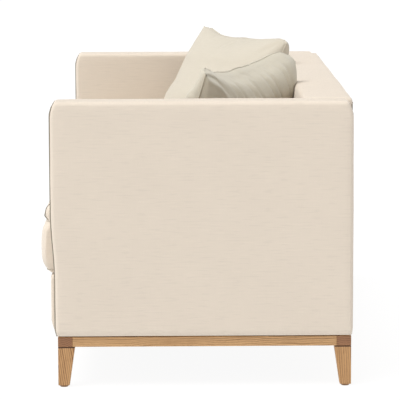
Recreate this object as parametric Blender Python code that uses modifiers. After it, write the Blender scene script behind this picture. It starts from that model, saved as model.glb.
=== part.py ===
"""A two-cushion sofa with box arms, a tight back, an oak plinth and tapered oak legs.

Metres, +Z up. The length runs along X, the front faces -Y and the floor is z = 0.
Left is -X, as seen by someone who stands in front of the sofa and looks at it.
Upholstery is modelled as covers over foam over a timber frame, each a separate solid.
"""

import math

import bmesh
import bpy
from mathutils import Matrix, Vector

# Driving dimensions.
LENGTH = 1.86
HEIGHT = 0.76
ARM_DEPTH = 0.80
ARM_WIDTH = 0.10
CUSHION_PROUD = 0.030  # the seat cushions stand this far in front of the arms
APRON_PROUD = 0.006
GAP = 0.0003  # between pieces that touch

# Heights.
LEG_TOP = 0.109
PLINTH_TOP = 0.135
SEAT_DECK = 0.2877  # top of the apron and of the deck
SEAT_TOP = 0.475

# Depth, front to back, centred on Y = 0.
FRONT = -(ARM_DEPTH + CUSHION_PROUD) / 2
BACK = (ARM_DEPTH + CUSHION_PROUD) / 2
ARM_FRONT = FRONT + CUSHION_PROUD
APRON_FRONT = ARM_FRONT - APRON_PROUD
BACKREST_TOP_THICK = 0.130
BACKREST_SEAT_THICK = 0.165
SEAT_BACK = BACK - BACKREST_SEAT_THICK

# Widths.
ARM_OUTER = LENGTH / 2
ARM_INNER = ARM_OUTER - ARM_WIDTH
INSIDE = ARM_INNER - GAP  # half the length of what fits between the arms

# Upholstery.
CLOTH = 0.0015
APRON_CLOTH = 0.003
APRON_FOAM = 0.008
ARM_FOAM = 0.016
COVER_RADIUS = 0.012
UNDERSIDE = PLINTH_TOP + GAP

# Plinth and legs.
PLINTH_WIDTH = 0.038
PLINTH_END = ARM_OUTER - 0.010
PLINTH_FRONT = ARM_FRONT + 0.015
PLINTH_BACK = BACK - 0.007
LEG_TOP_SIDE = 0.045
LEG_FOOT_SIDE = 0.030
GLIDE_HEIGHT = 0.005
GLIDE_RADIUS = 0.011
BOLT_RADIUS = 0.004
BOLT_INSET = 0.020  # from the leg's two outer faces to the bolt's axis
BOLT_FOOT = 0.062
BOLT_HEAD_RADIUS = 0.007
BOLT_HEAD_HEIGHT = 0.004

# Timber frame.
POST = 0.045
RAIL_BOARD = 0.030
TOP_BOARD = 0.030

# Springs and straps.
SPRING_WIRE = 0.0018
SPRING_REACH = 0.022  # half the straight part of each bend
SPRING_PITCH = 0.033
SPRING_SPACING = 0.19
SPRINGS = 8
DECK_THICK = 0.012
STRAP_WIDTH = 0.060
STRAP_THICK = 0.002
STRAP_PLACES = (-0.60, -0.22, 0.22, 0.60)

# Loose cushions and pillows.
CUSHION_CLEARANCE = 0.0015
CUSHION_RADIUS = 0.030
CUSHION_BACK = SEAT_BACK - 0.005
ZIP_HEIGHT = 0.003
PILLOW_WIDTH = 0.52
PILLOW_HEIGHT = 0.385
PILLOW_THICK = 0.150
PILLOW_TURN = math.radians(31)
PILLOW_LEAN = math.radians(25)
PILLOW_CENTRE = Vector((0.498, 0.094, 0.654))
PILLOW_BOW = 0.06  # how far each edge pulls in, as a share of its half length
PILLOW_CELLS = 12

SIDES = (("left", -1), ("right", 1))
ENDS = (("front", -1), ("back", 1))


def srgb(red, green, blue):
    """The linear colour of an sRGB colour given from 0 to 255."""
    return tuple((value / 255) ** 2.2 for value in (red, green, blue)) + (1.0,)


# Name: colour, roughness, metallic.
MATERIALS = {
    "oak": (srgb(205, 160, 116), 0.55, 0.0),
    "linen": (srgb(234, 226, 211), 0.90, 0.0),
    "linen_pillow": (srgb(232, 224, 209), 0.90, 0.0),
    "frame_timber": (srgb(214, 184, 140), 0.75, 0.0),
    "foam": (srgb(238, 228, 190), 0.95, 0.0),
    "wadding": (srgb(240, 240, 238), 0.95, 0.0),
    "webbing": (srgb(70, 66, 62), 0.90, 0.0),
    "dust_cloth": (srgb(38, 38, 40), 0.92, 0.0),
    "spring_steel": (srgb(120, 122, 126), 0.40, 0.9),
    "bolt_steel": (srgb(176, 178, 180), 0.35, 0.9),
    "glide_plastic": (srgb(142, 106, 70), 0.60, 0.0),
}


def clear_scene():
    for old in list(bpy.data.objects):
        bpy.data.objects.remove(old, do_unlink=True)


def make_collection(name):
    collection = bpy.data.collections.new(name)
    bpy.context.scene.collection.children.link(collection)
    return collection


def make_material(name):
    colour, roughness, metallic = MATERIALS[name]
    material = bpy.data.materials.new(name)
    material.use_nodes = True
    shader = material.node_tree.nodes["Principled BSDF"]
    shader.inputs["Base Color"].default_value = colour
    shader.inputs["Roughness"].default_value = roughness
    shader.inputs["Metallic"].default_value = metallic
    material.diffuse_color = colour
    return material


def add_object(name, data, material, place=(0, 0, 0), group=None):
    """Puts a mesh or curve in the sofa's collection under its node name."""
    obj = bpy.data.objects.new(name, data)
    obj.location = place
    data.materials.append(materials[material])
    (group or sofa).objects.link(obj)
    return obj


def mesh_of(bm, name, recalculate=True):
    if recalculate:
        bmesh.ops.recalc_face_normals(bm, faces=bm.faces)
    mesh = bpy.data.meshes.new(name)
    bm.to_mesh(mesh)
    bm.free()
    return mesh


def add_bevel(obj, width, segments=2):
    bevel = obj.modifiers.new("edges", "BEVEL")
    bevel.width = width
    bevel.segments = segments
    bevel.limit_method = "ANGLE"
    bevel.angle_limit = math.radians(40)


def cut(obj, cutter):
    """Subtracts the cutter from the object and hides the cutter among the others."""
    cutter.hide_render = True
    cutter.display_type = "WIRE"
    boolean = obj.modifiers.new(cutter.name, "BOOLEAN")
    boolean.operation = "DIFFERENCE"
    boolean.solver = "EXACT"
    boolean.object = cutter


def box_bmesh(size):
    bm = bmesh.new()
    bmesh.ops.create_cube(bm, size=1.0, matrix=Matrix.Diagonal((*size, 1.0)))
    return bm


def box(name, x, y, z, material, bevel=0.0, segments=2, group=None):
    """A block between the two values given for each axis."""
    spans = (x, y, z)
    size = [high - low for low, high in spans]
    middle = [(high + low) / 2 for low, high in spans]
    obj = add_object(name, mesh_of(box_bmesh(size), name), material, middle, group)
    if bevel:
        add_bevel(obj, bevel, segments)
    return obj


def open_bottomed(name, bm, material, place, thick, radius):
    """A cover made from a closed block: the bottom comes off and the wall grows inwards."""
    lowest = min(bm.faces, key=lambda face: face.calc_center_median().z)
    bmesh.ops.delete(bm, geom=[lowest], context="FACES_ONLY")
    obj = add_object(name, mesh_of(bm, name), material, place)
    add_bevel(obj, radius, 3)
    shell = obj.modifiers.new("cloth", "SOLIDIFY")
    shell.thickness = thick
    shell.offset = -1
    shell.use_even_offset = True
    return obj


def prism_bmesh(outline, half_length):
    """The outline, given as (y, z) points, stretched along X about the origin."""
    bm = bmesh.new()
    ends = []
    for x in (-half_length, half_length):
        ends.append([bm.verts.new((x, y, z)) for y, z in outline])
    bm.faces.new(ends[0])
    bm.faces.new(reversed(ends[1]))
    count = len(outline)
    for i in range(count):
        j = (i + 1) % count
        bm.faces.new((ends[0][i], ends[1][i], ends[1][j], ends[0][j]))
    return bm


def turned(name, profile, material, place, steps=20):
    """A turned piece: the (radius, z) profile rises from the axis and ends on the axis."""
    mesh = bpy.data.meshes.new(name)
    points = [(radius, 0, z) for radius, z in reversed(profile)]
    mesh.from_pydata(points, [(i, i + 1) for i in range(len(points) - 1)], [])
    obj = add_object(name, mesh, material, place)
    screw = obj.modifiers.new("turn", "SCREW")
    screw.steps = steps
    screw.render_steps = steps
    screw.use_merge_vertices = True
    screw.merge_threshold = 0.00001
    return obj


def corner(sx, sy, inset):
    """A point in plan this far in from the two outer faces of the leg at that corner."""
    y = PLINTH_FRONT if sy < 0 else PLINTH_BACK
    return sx * (PLINTH_END - inset), y - sy * inset


def bolt_hole(name, sx, sy):
    """The clearance hole for a leg bolt, with its counterbore at the plinth's top."""
    x, y = corner(sx, sy, BOLT_INSET)
    head_seat = PLINTH_TOP - BOLT_HEAD_HEIGHT - 2 * GAP
    profile = (
        (0, BOLT_FOOT - GAP),
        (BOLT_RADIUS + GAP, BOLT_FOOT - GAP),
        (BOLT_RADIUS + GAP, head_seat),
        (BOLT_HEAD_RADIUS + GAP, head_seat),
        (BOLT_HEAD_RADIUS + GAP, PLINTH_TOP + 0.01),
        (0, PLINTH_TOP + 0.01),
    )
    hole = turned(name, profile, "bolt_steel", (x, y, 0))
    sofa.objects.unlink(hole)
    cutters.objects.link(hole)
    return hole


def build_plinth():
    inner = (PLINTH_FRONT + PLINTH_WIDTH + GAP, PLINTH_BACK - PLINTH_WIDTH - GAP)
    height = (LEG_TOP, PLINTH_TOP)
    length = (-PLINTH_END, PLINTH_END)
    front = (PLINTH_FRONT, PLINTH_FRONT + PLINTH_WIDTH)
    back = (PLINTH_BACK - PLINTH_WIDTH, PLINTH_BACK)
    rails = {
        -1: box("plinth_front_rail", length, front, height, "oak", 0.0008, 1),
        1: box("plinth_back_rail", length, back, height, "oak", 0.0008, 1),
    }
    for side, sx in SIDES:
        span = sorted((sx * PLINTH_END, sx * (PLINTH_END - PLINTH_WIDTH)))
        box(f"plinth_{side}_rail", span, inner, height, "oak", 0.0008, 1)
    return rails


def leg_mesh(name, sx, sy):
    """A leg with its two outer faces upright and its two inner faces tapered."""
    bm = bmesh.new()
    rings = []
    for side, z in ((LEG_FOOT_SIDE, GLIDE_HEIGHT), (LEG_TOP_SIDE, LEG_TOP - GAP)):
        plan = ((0, 0), (side, 0), (side, side), (0, side))
        rings.append([bm.verts.new((-sx * a, -sy * b, z)) for a, b in plan])
    bm.faces.new(rings[0])
    bm.faces.new(rings[1])
    for i in range(4):
        j = (i + 1) % 4
        bm.faces.new((rings[0][i], rings[0][j], rings[1][j], rings[1][i]))
    return mesh_of(bm, name)


def build_legs(rails):
    glide_top = GLIDE_HEIGHT - GAP
    glide = (
        (0, 0),
        (GLIDE_RADIUS - 0.0015, 0),
        (GLIDE_RADIUS, 0.0012),
        (GLIDE_RADIUS, glide_top),
        (0, glide_top),
    )
    head_seat = PLINTH_TOP - BOLT_HEAD_HEIGHT - GAP
    bolt = (
        (0, BOLT_FOOT),
        (BOLT_RADIUS - 0.001, BOLT_FOOT),
        (BOLT_RADIUS, BOLT_FOOT + 0.001),
        (BOLT_RADIUS, head_seat),
        (BOLT_HEAD_RADIUS, head_seat),
        (BOLT_HEAD_RADIUS, PLINTH_TOP - 0.0015),
        (BOLT_HEAD_RADIUS - 0.001, PLINTH_TOP - GAP),
        (0, PLINTH_TOP - GAP),
    )
    for end, sy in ENDS:
        for side, sx in SIDES:
            spot = f"{end}_{side}"
            leg_place = (*corner(sx, sy, 0), 0)
            leg = add_object(f"leg_{spot}", leg_mesh(f"leg_{spot}", sx, sy), "oak", leg_place)
            add_bevel(leg, 0.0015, 2)
            hole = bolt_hole(f"hole_{spot}", sx, sy)
            cut(leg, hole)
            cut(rails[sy], hole)
            turned(f"leg_bolt_{spot}", bolt, "bolt_steel", (*corner(sx, sy, BOLT_INSET), 0))
            glide_place = (*corner(sx, sy, LEG_FOOT_SIDE / 2), 0)
            turned(f"glide_{spot}", glide, "glide_plastic", glide_place)


def build_arm(side, sx):
    """One box arm: cover, foam and the four timbers that carry them."""
    middle = sx * (ARM_OUTER - ARM_WIDTH / 2)
    tall = HEIGHT - UNDERSIDE
    place = (middle, (ARM_FRONT + BACK) / 2, UNDERSIDE + tall / 2)
    block = box_bmesh((ARM_WIDTH, BACK - ARM_FRONT, tall))
    open_bottomed(f"arm_cover_{side}", block, "linen", place, CLOTH, COVER_RADIUS)

    def inside(inset, foot=UNDERSIDE):
        half = ARM_WIDTH / 2 - inset
        across = (middle - half, middle + half)
        return across, (ARM_FRONT + inset, BACK - inset), (foot, HEIGHT - inset)

    under_cloth = CLOTH + GAP
    radius = COVER_RADIUS - under_cloth
    foam = box(f"arm_foam_{side}", *inside(under_cloth), "foam", radius, 3)
    room = inside(under_cloth + ARM_FOAM, UNDERSIDE - 0.01)
    cut(foam, box(f"arm_room_{side}", *room, "foam", group=cutters))

    width, (front, back), (_, top) = inside(under_cloth + ARM_FOAM + GAP)
    post_top = top - TOP_BOARD - GAP
    post = (UNDERSIDE, post_top)
    between = (front + POST + GAP, back - POST - GAP)
    low_board = (UNDERSIDE, UNDERSIDE + POST)
    timbers = (
        ("front_post", (front, front + POST), post),
        ("back_post", (back - POST, back), post),
        ("top_rail", (front, back), (top - TOP_BOARD, top)),
        ("bottom_rail", between, low_board),
    )
    for part, y, z in timbers:
        box(f"arm_{part}_{side}", width, y, z, "frame_timber", 0.001, 1)


def build_back():
    """The tight back between the arms: cover, foam, straps and frame."""
    slope_top = BACK - BACKREST_TOP_THICK
    outline = (
        (BACK, UNDERSIDE),
        (BACK, HEIGHT),
        (slope_top, HEIGHT),
        (SEAT_BACK, SEAT_DECK),
        (SEAT_BACK, UNDERSIDE),
    )
    cover = prism_bmesh(outline, INSIDE)
    open_bottomed("back_cover", cover, "linen", (0, 0, 0), CLOTH, COVER_RADIUS)

    skin = CLOTH + GAP
    strap_front = BACK - 0.075
    rear = BACK - skin
    under_cap = HEIGHT - 0.022
    foam = (
        (rear, UNDERSIDE),
        (rear, HEIGHT - skin),
        (slope_top + skin, HEIGHT - skin),
        (SEAT_BACK + skin, SEAT_DECK),
        (SEAT_BACK + skin, UNDERSIDE),
    )
    foam_mesh = mesh_of(prism_bmesh(foam, INSIDE - skin), "back_foam")
    pad = add_object("back_foam", foam_mesh, "foam")
    add_bevel(pad, COVER_RADIUS - skin, 3)
    room = ((-INSIDE, INSIDE), (strap_front - GAP, BACK), (UNDERSIDE - 0.01, under_cap))
    cut(pad, box("back_room", *room, "foam", group=cutters))

    frame_front = strap_front + STRAP_THICK + GAP
    deep = (frame_front, rear)
    half_length = INSIDE - COVER_RADIUS
    length = (-half_length, half_length)
    top_rail = (under_cap - GAP - RAIL_BOARD - 0.010, under_cap - GAP)
    low_rail = (UNDERSIDE, UNDERSIDE + 0.055)
    post = (low_rail[1] + GAP, top_rail[0] - GAP)
    box("back_top_rail", length, deep, top_rail, "frame_timber", 0.001, 1)
    box("back_bottom_rail", length, deep, low_rail, "frame_timber", 0.001, 1)
    box("back_centre_post", (-POST / 2, POST / 2), deep, post, "frame_timber", 0.001, 1)
    strap = (strap_front, strap_front + STRAP_THICK)
    reach = (UNDERSIDE + 0.015, under_cap - 0.010)
    for number, x in enumerate(STRAP_PLACES, start=1):
        span = (x - STRAP_WIDTH / 2, x + STRAP_WIDTH / 2)
        box(f"back_strap_{number}", span, strap, reach, "webbing")


def zigzag(name, x, y_start, y_end, z):
    """A sinuous spring: straight runs across, joined by half circles, from front to back."""
    radius = SPRING_PITCH / 2
    bends = int((y_end - y_start) / SPRING_PITCH)
    points = [(-SPRING_REACH, 0)]
    for bend in range(bends):
        way = 1 if bend % 2 == 0 else -1
        for step in range(4):
            angle = math.radians(-90 + 60 * step)
            across = way * (SPRING_REACH + radius * math.cos(angle))
            points.append((across, radius * (2 * bend + 1 + math.sin(angle))))
    way = -1 if bends % 2 else 1
    points.append((way * SPRING_REACH, points[-1][1]))
    curve = bpy.data.curves.new(name, "CURVE")
    curve.dimensions = "3D"
    curve.bevel_depth = SPRING_WIRE
    curve.bevel_resolution = 1
    curve.use_fill_caps = True
    spline = curve.splines.new("POLY")
    spline.points.add(len(points) - 1)
    for point, (across, along) in zip(spline.points, points):
        point.co = (across, along, 0, 1)
    return add_object(name, curve, "spring_steel", (x, y_start, z))


def build_seat():
    """The seat frame, its springs, the padded deck over them and the apron in front."""
    lip = APRON_FRONT + 0.040
    foot = APRON_FRONT + 0.025
    cloth = APRON_CLOTH
    apron = (
        (foot, UNDERSIDE),
        (APRON_FRONT, UNDERSIDE),
        (APRON_FRONT, SEAT_DECK),
        (lip, SEAT_DECK),
        (lip, SEAT_DECK - cloth),
        (APRON_FRONT + cloth, SEAT_DECK - cloth),
        (APRON_FRONT + cloth, UNDERSIDE + cloth),
        (foot, UNDERSIDE + cloth),
    )
    apron_mesh = mesh_of(prism_bmesh(apron, INSIDE), "apron_cover")
    add_object("apron_cover", apron_mesh, "linen")

    wire_z = SEAT_DECK - DECK_THICK - GAP - SPRING_WIRE
    board_top = wire_z - SPRING_WIRE - GAP
    skin = APRON_FRONT + cloth + GAP
    face = skin + APRON_FOAM + GAP
    inner = face + RAIL_BOARD
    step = inner - 0.014
    board_foot = UNDERSIDE + cloth + GAP
    front_rail = (
        (face, board_foot),
        (inner, board_foot),
        (inner, board_top),
        (step, board_top),
        (step, SEAT_DECK - cloth - GAP),
        (face, SEAT_DECK - cloth - GAP),
    )
    rail_mesh = mesh_of(prism_bmesh(front_rail, INSIDE), "seat_front_rail")
    add_object("seat_front_rail", rail_mesh, "frame_timber")
    length = (-INSIDE, INSIDE)
    pad_z = (board_foot, SEAT_DECK - cloth - GAP)
    box("apron_foam", length, (skin, face - GAP), pad_z, "foam", 0.001, 1)
    back_face = SEAT_BACK - GAP
    back_inner = back_face - RAIL_BOARD
    box(
        "seat_back_rail",
        length,
        (back_inner, back_face),
        (UNDERSIDE, board_top),
        "frame_timber",
        0.001,
        1,
    )
    low_board = (board_foot, board_foot + POST)
    between = (inner + GAP, back_inner - GAP)
    box("seat_centre_rail", (-POST / 2, POST / 2), between, low_board, "frame_timber", 0.001, 1)

    first = -SPRING_SPACING * (SPRINGS - 1) / 2
    for number in range(SPRINGS):
        x = first + number * SPRING_SPACING
        zigzag(f"seat_spring_{number + 1}", x, step + 0.004, back_face - 0.004, wire_z)

    deck_z = (SEAT_DECK - DECK_THICK, SEAT_DECK)
    box("seat_deck", length, (lip + GAP, back_face), deck_z, "wadding", 0.001, 1)

    margin = PLINTH_WIDTH + 0.001
    sheet_x = (-(PLINTH_END - margin), PLINTH_END - margin)
    sheet_y = (PLINTH_FRONT + margin, PLINTH_BACK - margin)
    sheet_z = (PLINTH_TOP - 0.0008, PLINTH_TOP)
    box("dust_cover", sheet_x, sheet_y, sheet_z, "dust_cloth")


def build_cushion(side, sx):
    """A boxed seat cushion: a zipped cover around a foam core."""
    x = sorted((sx * (CUSHION_CLEARANCE), sx * (ARM_INNER - CUSHION_CLEARANCE)))
    y = (FRONT, CUSHION_BACK)
    z = (SEAT_DECK + GAP, SEAT_TOP)

    def inset(by):
        return [(low + by, high - by) for low, high in (x, y, z)]

    cover = box(f"seat_cushion_cover_{side}", x, y, z, "linen", CUSHION_RADIUS, 4)
    hollow = box(
        f"hollow_{side}", *inset(CLOTH), "linen", CUSHION_RADIUS - CLOTH, 4, cutters
    )
    cut(cover, hollow)
    middle_x = sum(x) / 2
    middle_z = sum(z) / 2
    slit = box(
        f"zip_{side}",
        (middle_x - 0.30, middle_x + 0.30),
        (CUSHION_BACK - 0.010, CUSHION_BACK + 0.010),
        (middle_z - ZIP_HEIGHT / 2, middle_z + ZIP_HEIGHT / 2),
        "linen",
        group=cutters,
    )
    cut(cover, slit)
    core_inset = CLOTH + GAP
    core_radius = CUSHION_RADIUS - core_inset
    box(f"seat_cushion_core_{side}", *inset(core_inset), "foam", core_radius, 4)


def pillow_mesh(name, scale):
    """A knife-edge pillow: two domed panels that meet along edges pulled in at the middle."""
    n = PILLOW_CELLS
    steps = [math.sin(math.pi / 2 * (2 * i / n - 1)) for i in range(n + 1)]
    bm = bmesh.new()
    panels = {}
    for face in (-1, 1):
        for i, u in enumerate(steps):
            for j, v in enumerate(steps):
                on_edge = i in (0, n) or j in (0, n)
                if on_edge and face == 1:
                    panels[face, i, j] = panels[-1, i, j]
                    continue
                x = u * PILLOW_WIDTH / 2 * (1 - PILLOW_BOW * (1 - v * v))
                z = v * PILLOW_HEIGHT / 2 * (1 - PILLOW_BOW * (1 - u * u))
                rise = PILLOW_THICK / 2 * math.sqrt(max(0.0, (1 - u * u) * (1 - v * v)))
                y = 0.0 if on_edge else face * rise
                panels[face, i, j] = bm.verts.new(Vector((x, y, z)) * scale)
    for face in (-1, 1):
        for i in range(n):
            for j in range(n):
                ring = [(i, j), (i + 1, j), (i + 1, j + 1), (i, j + 1)]
                if face == 1:
                    ring.reverse()
                bm.faces.new([panels[face, a, b] for a, b in ring])
    bmesh.ops.triangulate(bm, faces=bm.faces, quad_method="FIXED")
    for face in bm.faces:
        face.smooth = True
    return mesh_of(bm, name, recalculate=False)


def build_pillow(side, sx):
    """A scatter pillow across the corner between an arm and the back."""
    place = Vector((sx * PILLOW_CENTRE.x, PILLOW_CENTRE.y, PILLOW_CENTRE.z))
    turn = (-PILLOW_LEAN, 0, -sx * PILLOW_TURN)
    layers = (
        (f"pillow_cover_{side}", 1.0, "linen_pillow", sofa),
        (f"pillow_hollow_{side}", 0.975, "linen_pillow", cutters),
        (f"pillow_insert_{side}", 0.965, "wadding", sofa),
    )
    made = []
    for name, scale, material, group in layers:
        obj = add_object(name, pillow_mesh(name, scale), material, place, group)
        obj.rotation_euler = turn
        made.append(obj)
    cover, hollow, _ = made
    cut(cover, hollow)
    slit_name = f"pillow_zip_{side}"
    slit_mesh = mesh_of(box_bmesh((0.26, ZIP_HEIGHT, 0.040)), slit_name)
    slit = add_object(slit_name, slit_mesh, "linen_pillow", place, cutters)
    slit.rotation_euler = turn
    bottom = Vector((0, 0, -PILLOW_HEIGHT / 2 * (1 - PILLOW_BOW)))
    bottom.rotate(slit.rotation_euler)
    slit.location = place + bottom
    cut(cover, slit)


clear_scene()
sofa = make_collection("sofa_with_wooden_legs")
cutters = make_collection("cutters")
cutters.hide_render = True
materials = {name: make_material(name) for name in MATERIALS}

build_legs(build_plinth())
build_back()
build_seat()
for side_name, side_sign in SIDES:
    build_arm(side_name, side_sign)
    build_cushion(side_name, side_sign)
    build_pillow(side_name, side_sign)
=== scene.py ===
import math

import bpy
import numpy as np
from mathutils import Euler, Matrix, Vector, noise
from mathutils.bvhtree import BVHTree


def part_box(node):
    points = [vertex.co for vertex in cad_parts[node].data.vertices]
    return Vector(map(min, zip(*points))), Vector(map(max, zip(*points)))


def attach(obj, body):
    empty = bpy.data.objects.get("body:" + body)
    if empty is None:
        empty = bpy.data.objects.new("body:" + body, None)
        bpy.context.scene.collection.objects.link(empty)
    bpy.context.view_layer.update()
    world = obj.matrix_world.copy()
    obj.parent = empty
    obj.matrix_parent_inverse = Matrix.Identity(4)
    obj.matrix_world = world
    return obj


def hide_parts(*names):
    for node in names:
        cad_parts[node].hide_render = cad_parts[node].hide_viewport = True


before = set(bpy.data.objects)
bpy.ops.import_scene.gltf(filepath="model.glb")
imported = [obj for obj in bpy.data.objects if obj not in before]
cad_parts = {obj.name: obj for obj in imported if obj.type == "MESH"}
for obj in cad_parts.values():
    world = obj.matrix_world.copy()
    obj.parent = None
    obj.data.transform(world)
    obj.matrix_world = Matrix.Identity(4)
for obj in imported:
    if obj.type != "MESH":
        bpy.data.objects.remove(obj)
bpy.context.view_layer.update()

# Sizes from the frame, in metres. The sofa's front is -Y and its length runs along X.
BACK_LOW, BACK_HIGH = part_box("back_cover")
APRON_LOW, APRON_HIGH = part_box("apron_cover")
DECK_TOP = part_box("seat_deck")[1].z
BACK_TOP_THICK = 0.130

# Upholstery.
EDGE_RADIUS = 0.010
APRON_EDGE_RADIUS = 0.007
HEM_GAP = 0.0028
HEM_SQUEEZE = 0.30
ARM_FOAM = 0.016
SEAM_RADIUS = 0.0014
ARM_SEAM_RADIUS = 0.0024
CORNER_SEAM_RADIUS = 0.0014

# The pillows turn into their corners and lean back.
PILLOW_WIDTH = 0.52
PILLOW_THICK = 0.150
PILLOW_HEIGHT = 0.385
PILLOW_TURN = math.radians(31)
PILLOW_LEAN = math.radians(25)
PILLOW_CELLS = 84
PIPING_RADIUS = 0.0019
SEAM_SHADE_RADIUS = 0.0008
SEAM_SHADE_OFFSET = 0.0024

# Blowing up the cushions and pillows.
PRESSURE = 5.0
CLOTH_FRAMES = 16

# Studio.
FLOOR_HALF = 40.0
FLOOR_GLOW = 0.93
KEY_ENERGY = 2.65
KEY_WIDTH = math.radians(45)
KEY_DIRECTION = Vector((0.224, -0.388, 0.894))
CAMERA_PLACE = Vector((7.43, -0.053, 1.354))
CAMERA_LENS = 224.5
CAMERA_PITCH = math.radians(-7.47)
CAMERA_YAW = math.radians(90 - 0.537)
CAMERA_ROLL = math.radians(-0.214)

SIDES = (("left", -1), ("right", 1))
ENDS = (("front", -1), ("back", 1))


# ---------------------------------------------------------------- materials


class Shader:
    """A Principled material and short ways to add the nodes that feed it."""

    def __init__(self, name, roughness=0.6, metallic=0.0, **sockets):
        self.material = bpy.data.materials.new(name)
        self.material.use_nodes = True
        self.tree = self.material.node_tree
        self.bsdf = self.tree.nodes["Principled BSDF"]
        self.bsdf.inputs["Roughness"].default_value = roughness
        self.bsdf.inputs["Metallic"].default_value = metallic
        for socket, value in sockets.items():
            self.bsdf.inputs[socket.replace("_", " ")].default_value = value

    def node(self, kind, **settings):
        made = self.tree.nodes.new(kind)
        for key, value in settings.items():
            setattr(made, key, value)
        return made

    def feed(self, socket, value):
        """Links another node's output to a socket, or sets a plain value on it."""
        if isinstance(value, bpy.types.NodeSocket):
            self.tree.links.new(value, socket)
        else:
            socket.default_value = value

    def math(self, operation, a, b=0.0, c=0.0):
        made = self.node("ShaderNodeMath", operation=operation)
        for socket, value in zip(made.inputs, (a, b, c)):
            self.feed(socket, value)
        return made.outputs[0]

    def vector(self, operation, a, b=(0, 0, 0)):
        made = self.node("ShaderNodeVectorMath", operation=operation)
        self.feed(made.inputs[0], a)
        self.feed(made.inputs[1], b)
        return made.outputs[0]

    def combine(self, x, y, z=0.0):
        made = self.node("ShaderNodeCombineXYZ")
        for socket, value in zip(made.inputs, (x, y, z)):
            self.feed(socket, value)
        return made.outputs[0]

    def split(self, vector):
        made = self.node("ShaderNodeSeparateXYZ")
        self.feed(made.inputs[0], vector)
        return made.outputs

    def times(self, a, b):
        return self.math("MULTIPLY", a, b)

    def stretched(self, coordinates, factors):
        """Three coordinates, each scaled by its own factor, as one vector."""
        return self.combine(*(self.times(value, factor) for value, factor in zip(coordinates, factors)))

    def noise(self, vector, scale=1.0, detail=2.0, roughness=0.5, distortion=0.0):
        made = self.node("ShaderNodeTexNoise")
        self.feed(made.inputs["Vector"], vector)
        made.inputs["Scale"].default_value = scale
        made.inputs["Detail"].default_value = detail
        made.inputs["Roughness"].default_value = roughness
        made.inputs["Distortion"].default_value = distortion
        return made.outputs["Fac"]

    def remap(self, value, low, high, to_low=0.0, to_high=1.0):
        made = self.node("ShaderNodeMapRange")
        self.feed(made.inputs["Value"], value)
        for name, number in zip(("From Min", "From Max", "To Min", "To Max"), (low, high, to_low, to_high)):
            made.inputs[name].default_value = number
        return made.outputs["Result"]

    def mix(self, factor, a, b):
        made = self.node("ShaderNodeMix", data_type="RGBA")
        self.feed(made.inputs["Factor"], factor)
        self.feed(made.inputs[6], a)
        self.feed(made.inputs[7], b)
        return made.outputs[2]

    def tint(self, colour, factor):
        """The colour scaled by a number that varies over the surface."""
        made = self.node("ShaderNodeVectorMath", operation="SCALE")
        made.inputs[0].default_value = colour[:3]
        self.feed(made.inputs["Scale"], factor)
        return made.outputs[0]

    def colour(self, value):
        self.feed(self.bsdf.inputs["Base Color"], value)

    def bump(self, height, distance, strength=1.0):
        made = self.node("ShaderNodeBump")
        made.inputs["Strength"].default_value = strength
        made.inputs["Distance"].default_value = distance
        self.feed(made.inputs["Height"], height)
        self.feed(self.bsdf.inputs["Normal"], made.outputs["Normal"])

    def place(self, turn=None):
        """Object coordinates in metres, turned into a piece's own frame if it has one."""
        coords = self.node("ShaderNodeTexCoord").outputs["Object"]
        return self.turned(coords, turn)

    def normal(self, turn=None):
        return self.turned(self.node("ShaderNodeNewGeometry").outputs["Normal"], turn)

    def turned(self, vector, turn):
        if turn is None:
            return vector
        made = self.node("ShaderNodeVectorRotate", rotation_type="EULER_XYZ", invert=True)
        self.feed(made.inputs["Vector"], vector)
        made.inputs["Rotation"].default_value = turn
        return made.outputs[0]


def srgb(red, green, blue):
    return tuple((value / 255) ** 2.2 for value in (red, green, blue)) + (1.0,)


def linen(name, base, turn=None, thread=0.0011, slub=1.0):
    """Slubby plain-weave linen: threads run level and upright on every panel."""
    s = Shader(name, roughness=0.92, Sheen_Weight=0.25, Sheen_Roughness=0.6)
    s.bsdf.inputs["Specular IOR Level"].default_value = 0.25
    x, y, z = s.split(s.place(turn))
    nx, ny, nz = s.split(s.vector("ABSOLUTE", s.normal(turn)))
    end_on = s.math("GREATER_THAN", nx, s.math("MAXIMUM", ny, nz))
    level = s.math("GREATER_THAN", nz, s.math("MAXIMUM", nx, ny))
    across = s.math("ADD", x, s.times(end_on, s.math("SUBTRACT", y, x)))
    up = s.math("ADD", z, s.times(level, s.math("SUBTRACT", y, z)))

    weft = s.noise(s.combine(s.times(across, 26), s.times(up, 250)), detail=2)
    warp = s.noise(s.combine(s.times(across, 260), s.times(up, 22)), detail=2)
    rare = s.noise(s.combine(s.times(across, 24), s.times(up, 230)), detail=0)
    patch = s.noise(s.combine(s.times(across, 5), s.times(up, 6)), detail=3)
    fuzz = s.noise(s.combine(across, up), scale=1500, detail=2)
    thick = s.remap(rare, 0.62, 0.78)
    thin = s.remap(rare, 0.38, 0.24)

    def threads(coordinate):
        wave = s.math("SINE", s.times(coordinate, 2 * math.pi / thread))
        return s.math("ABSOLUTE", wave)

    weave = s.math("MAXIMUM", threads(across), threads(up))
    noises = ((weft, 0.040 * slub), (warp, 0.026 * slub), (patch, 0.070), (fuzz, 0.036))
    rest = ((thick, 0.022 * slub), (thin, -0.038 * slub), (weave, 0.040))
    # Taking off what the noises and the weave add on average keeps the shade's mean close to 1.
    shade = 1.0 - 0.5 * sum(weight for value, weight in noises) - 0.025
    for value, weight in noises + rest:
        shade = s.math("MULTIPLY_ADD", value, weight, shade)
    s.colour(s.tint(base, shade))
    height = s.math("MULTIPLY_ADD", weft, 0.8, weave)
    height = s.math("MULTIPLY_ADD", warp, 0.5, height)
    s.bump(s.math("MULTIPLY_ADD", thick, 0.8, height), 0.00030, 0.35)
    return s.material


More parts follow.
